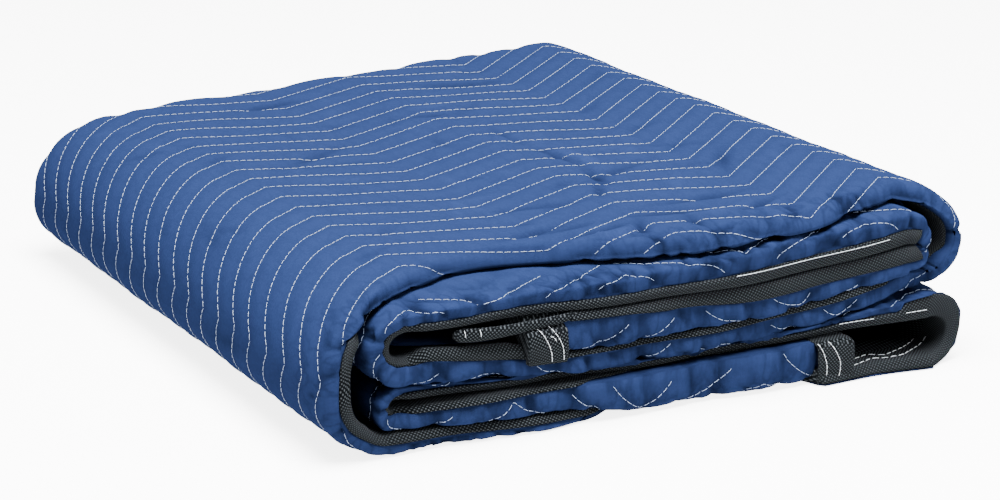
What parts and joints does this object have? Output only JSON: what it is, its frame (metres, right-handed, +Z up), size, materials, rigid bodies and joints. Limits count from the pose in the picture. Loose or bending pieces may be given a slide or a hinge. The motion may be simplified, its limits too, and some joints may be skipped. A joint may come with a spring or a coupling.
{
  "type": "folded moving blanket",
  "caption": "Quilted, padded moving blanket with a taped edge, folded back and forth into a flat square pile for padding and wrapping furniture.",
  "frame": {"origin": "on the surface that the pile rests on, under the middle of its box", "axes": "+X along the front edges of the layers, from the big rounded fold on the left to the double fold on the right; +Y from the front to the back; +Z up through the layers"},
  "size_m": [0.452, 0.5149, 0.1168],
  "materials": {
    "quilted_cloth": "blue woven polyester face with a slight sheen, quilted over batting in pale zigzag thread lines",
    "woven_tape": "matt black woven tape with a fine diagonal weave and white topstitching",
    "white_thread": "white polyester sewing thread"
  },
  "bodies": {
    "root": {"quilted_panel": "quilted_cloth", "binding_front": "woven_tape", "binding_back": "woven_tape", "binding_end_inner": "woven_tape", "binding_end_lower": "woven_tape"}
  },
  "joints": []
}
